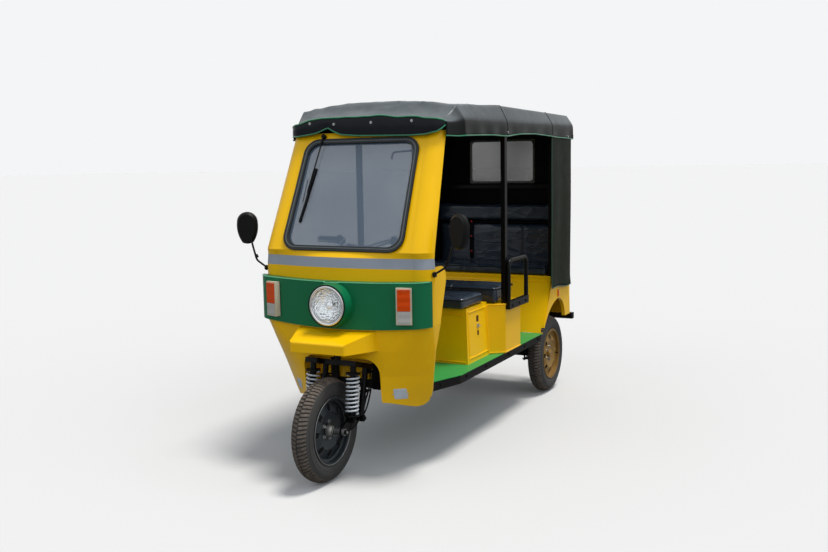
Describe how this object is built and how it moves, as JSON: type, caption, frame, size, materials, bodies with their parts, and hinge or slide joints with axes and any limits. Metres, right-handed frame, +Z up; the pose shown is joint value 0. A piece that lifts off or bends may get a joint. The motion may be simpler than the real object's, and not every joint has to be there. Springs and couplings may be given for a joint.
{
  "type": "three-wheeled passenger rickshaw",
  "caption": "Open-sided motor rickshaw with a steered front wheel, raked windscreen, cloth canopy, facing passenger benches and hub-turned rear wheels.",
  "frame": {"origin": "on the ground under the middle of the overall length and width", "axes": "+X to the vehicle's left, +Y to its rear, +Z up"},
  "size_m": [1.3052, 2.6859, 1.8119],
  "materials": {
    "yellow_paint": "glossy",
    "green_paint": "glossy",
    "black_paint": "satin",
    "dark_steel": "oily",
    "tyre_rubber": "matte",
    "front_rim_paint": "satin",
    "rear_rim_paint": "satin metallic",
    "white_spring_paint": "satin",
    "bright_steel": "satin",
    "chrome_plate": "polished",
    "clear_glass": "polished",
    "clear_film": "glossy",
    "amber_lens": "glossy",
    "red_lens": "glossy",
    "cream_plastic": "satin",
    "black_plastic": "grained",
    "black_rubber": "matte",
    "seat_vinyl": "glossy vinyl",
    "canopy_cloth": "coated cloth",
    "curtain_cloth": "coated cloth"
  },
  "bodies": {
    "root": {"chassis_frame": "black_paint", "leaf_springs": "dark_steel", "rear_axle": "dark_steel", "drive_motor": "dark_steel", "floor_pan": "green_paint", "leg_shield": "yellow_paint", "wheel_housing": "yellow_paint", "nose_shelf": "yellow_paint", "front_band": "green_paint", "windscreen_frame": "yellow_paint", "windscreen_gasket": "black_rubber", "windscreen_glass": "clear_glass", "wiper": "black_plastic", "dashboard": "black_plastic", "brake_pedal": "black_paint", "headlamp_bezel": "chrome_plate", "headlamp_bowl": "chrome_plate", "headlamp_lens": "clear_glass", "indicator_housings": "cream_plastic", "indicator_lenses": "amber_lens", "mirrors": "black_plastic", "driver_seat_box": "yellow_paint", "driver_cushion": "seat_vinyl", "bench_box": "yellow_paint", "bench_cushion": "seat_vinyl", "battery_block": "black_plastic", "rear_fenders": "yellow_paint", "rear_tub": "yellow_paint", "rear_cushion": "seat_vinyl", "rear_backrest": "seat_vinyl", "canopy_frame": "black_paint", "canopy_cover": "canopy_cloth", "curtains": "curtain_cloth", "rear_window": "clear_film", "armrest_loops": "black_paint", "tail_lamps": "red_lens"},
    "steering": {"front_fork": "black_paint", "fork_links": "black_paint", "fork_dampers": "black_paint", "fork_springs": "white_spring_paint", "front_axle": "bright_steel", "handlebar": "chrome_plate", "handlebar_grips": "black_rubber"},
    "front_wheel": {"front_tyre": "tyre_rubber", "front_rim": "front_rim_paint"},
    "rear_left_wheel": {"rear_left_tyre": "tyre_rubber", "rear_left_rim": "rear_rim_paint"},
    "rear_right_wheel": {"rear_right_tyre": "tyre_rubber", "rear_right_rim": "rear_rim_paint"}
  },
  "joints": [
    {"name": "steer", "type": "hinge", "parent": "root", "child": "steering", "pos_m": [0, -1.058, 0.25], "axis": [0, 0.2756, 0.9613], "range_deg": [-35, 35]},
    {"name": "front_wheel_spin", "type": "hinge", "parent": "steering", "child": "front_wheel", "pos_m": [0, -1.093, 0.25], "axis": [1, 0, 0], "continuous": true},
    {"name": "rear_left_spin", "type": "hinge", "parent": "root", "child": "rear_left_wheel", "pos_m": [0.375, 1.029, 0.25], "axis": [1, 0, 0], "continuous": true},
    {"name": "rear_right_spin", "type": "hinge", "parent": "root", "child": "rear_right_wheel", "pos_m": [-0.375, 1.029, 0.25], "axis": [1, 0, 0], "continuous": true}
  ]
}
